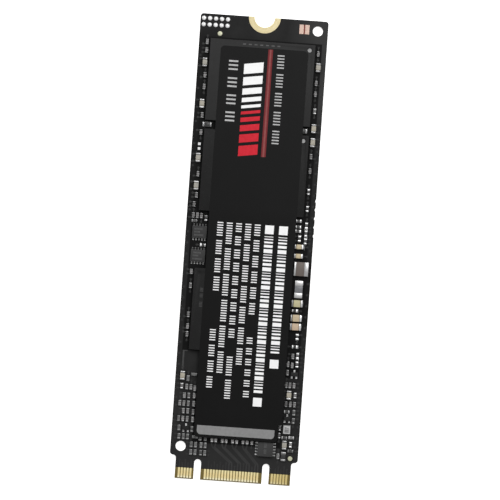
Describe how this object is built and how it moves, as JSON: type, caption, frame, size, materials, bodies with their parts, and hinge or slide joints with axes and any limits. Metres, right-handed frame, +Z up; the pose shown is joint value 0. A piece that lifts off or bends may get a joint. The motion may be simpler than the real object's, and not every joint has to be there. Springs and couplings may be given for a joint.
{
  "type": "solid state drive card",
  "caption": "Long thin circuit board with a gold edge connector, a half-round screw notch, flat memory packages and small chip parts, under a narrow printed label.",
  "frame": {"origin": "middle of the board's underside, which lies flat on the surface", "axes": "+Y along the board from the edge connector to the screw notch, +Z up through the label, +X to the right with the notch at the top"},
  "size_m": [0.022, 0.08, 0.0021],
  "materials": {
    "board_mask": "black solder mask, satin",
    "gold_plating": "pale gold flash over nickel, satin",
    "solder": "bright tin, slightly uneven",
    "bare_copper": "pinkish bare copper, satin",
    "mould_compound": "fine matt epoxy",
    "label_film": "black printed film, satin",
    "dark_ceramic": "grey-brown ceramic, matt",
    "cream_ceramic": "cream ceramic, matt",
    "tan_ceramic": "tan ceramic, matt",
    "resistor_black": "black glaze",
    "ferrite_grey": "brown-grey pressed ferrite, matt",
    "fuse_glaze": "blue-grey glaze",
    "crystal_ceramic": "light grey ceramic, matt",
    "crystal_metal": "grey plated lid"
  },
  "bodies": {
    "root": {"circuit_board": "board_mask", "mounting_notch_plating": "gold_plating", "edge_contacts_top": "gold_plating", "edge_contacts_bottom": "gold_plating", "test_pads": "solder", "fiducials": "gold_plating", "jumper_pads": "bare_copper", "spare_pads": "solder", "nand_package_upper": "mould_compound", "nand_package_lower": "mould_compound", "dram_package": "mould_compound", "controller_package": "mould_compound", "nand_upper_solder_balls": "solder", "nand_lower_solder_balls": "solder", "dram_solder_balls": "solder", "controller_solder_balls": "solder", "power_manager": "mould_compound", "regulator_upper": "mould_compound", "regulator_lower": "mould_compound", "regulator_leads": "solder", "power_switch": "mould_compound", "power_switch_leads": "solder", "transistors": "mould_compound", "transistor_leads": "solder", "crystal_base": "crystal_ceramic", "crystal_lid": "crystal_metal", "capacitors_small": "dark_ceramic", "capacitors_small_ends": "solder", "capacitors_medium": "cream_ceramic", "capacitors_medium_ends": "solder", "capacitors_large": "tan_ceramic", "capacitors_large_ends": "solder", "resistors_small": "resistor_black", "resistors_small_ends": "solder", "resistors_medium": "resistor_black", "resistors_medium_ends": "solder", "power_inductor": "ferrite_grey", "power_inductor_ends": "solder", "input_fuse": "fuse_glaze", "input_fuse_ends": "solder", "label": "label_film"}
  },
  "joints": []
}
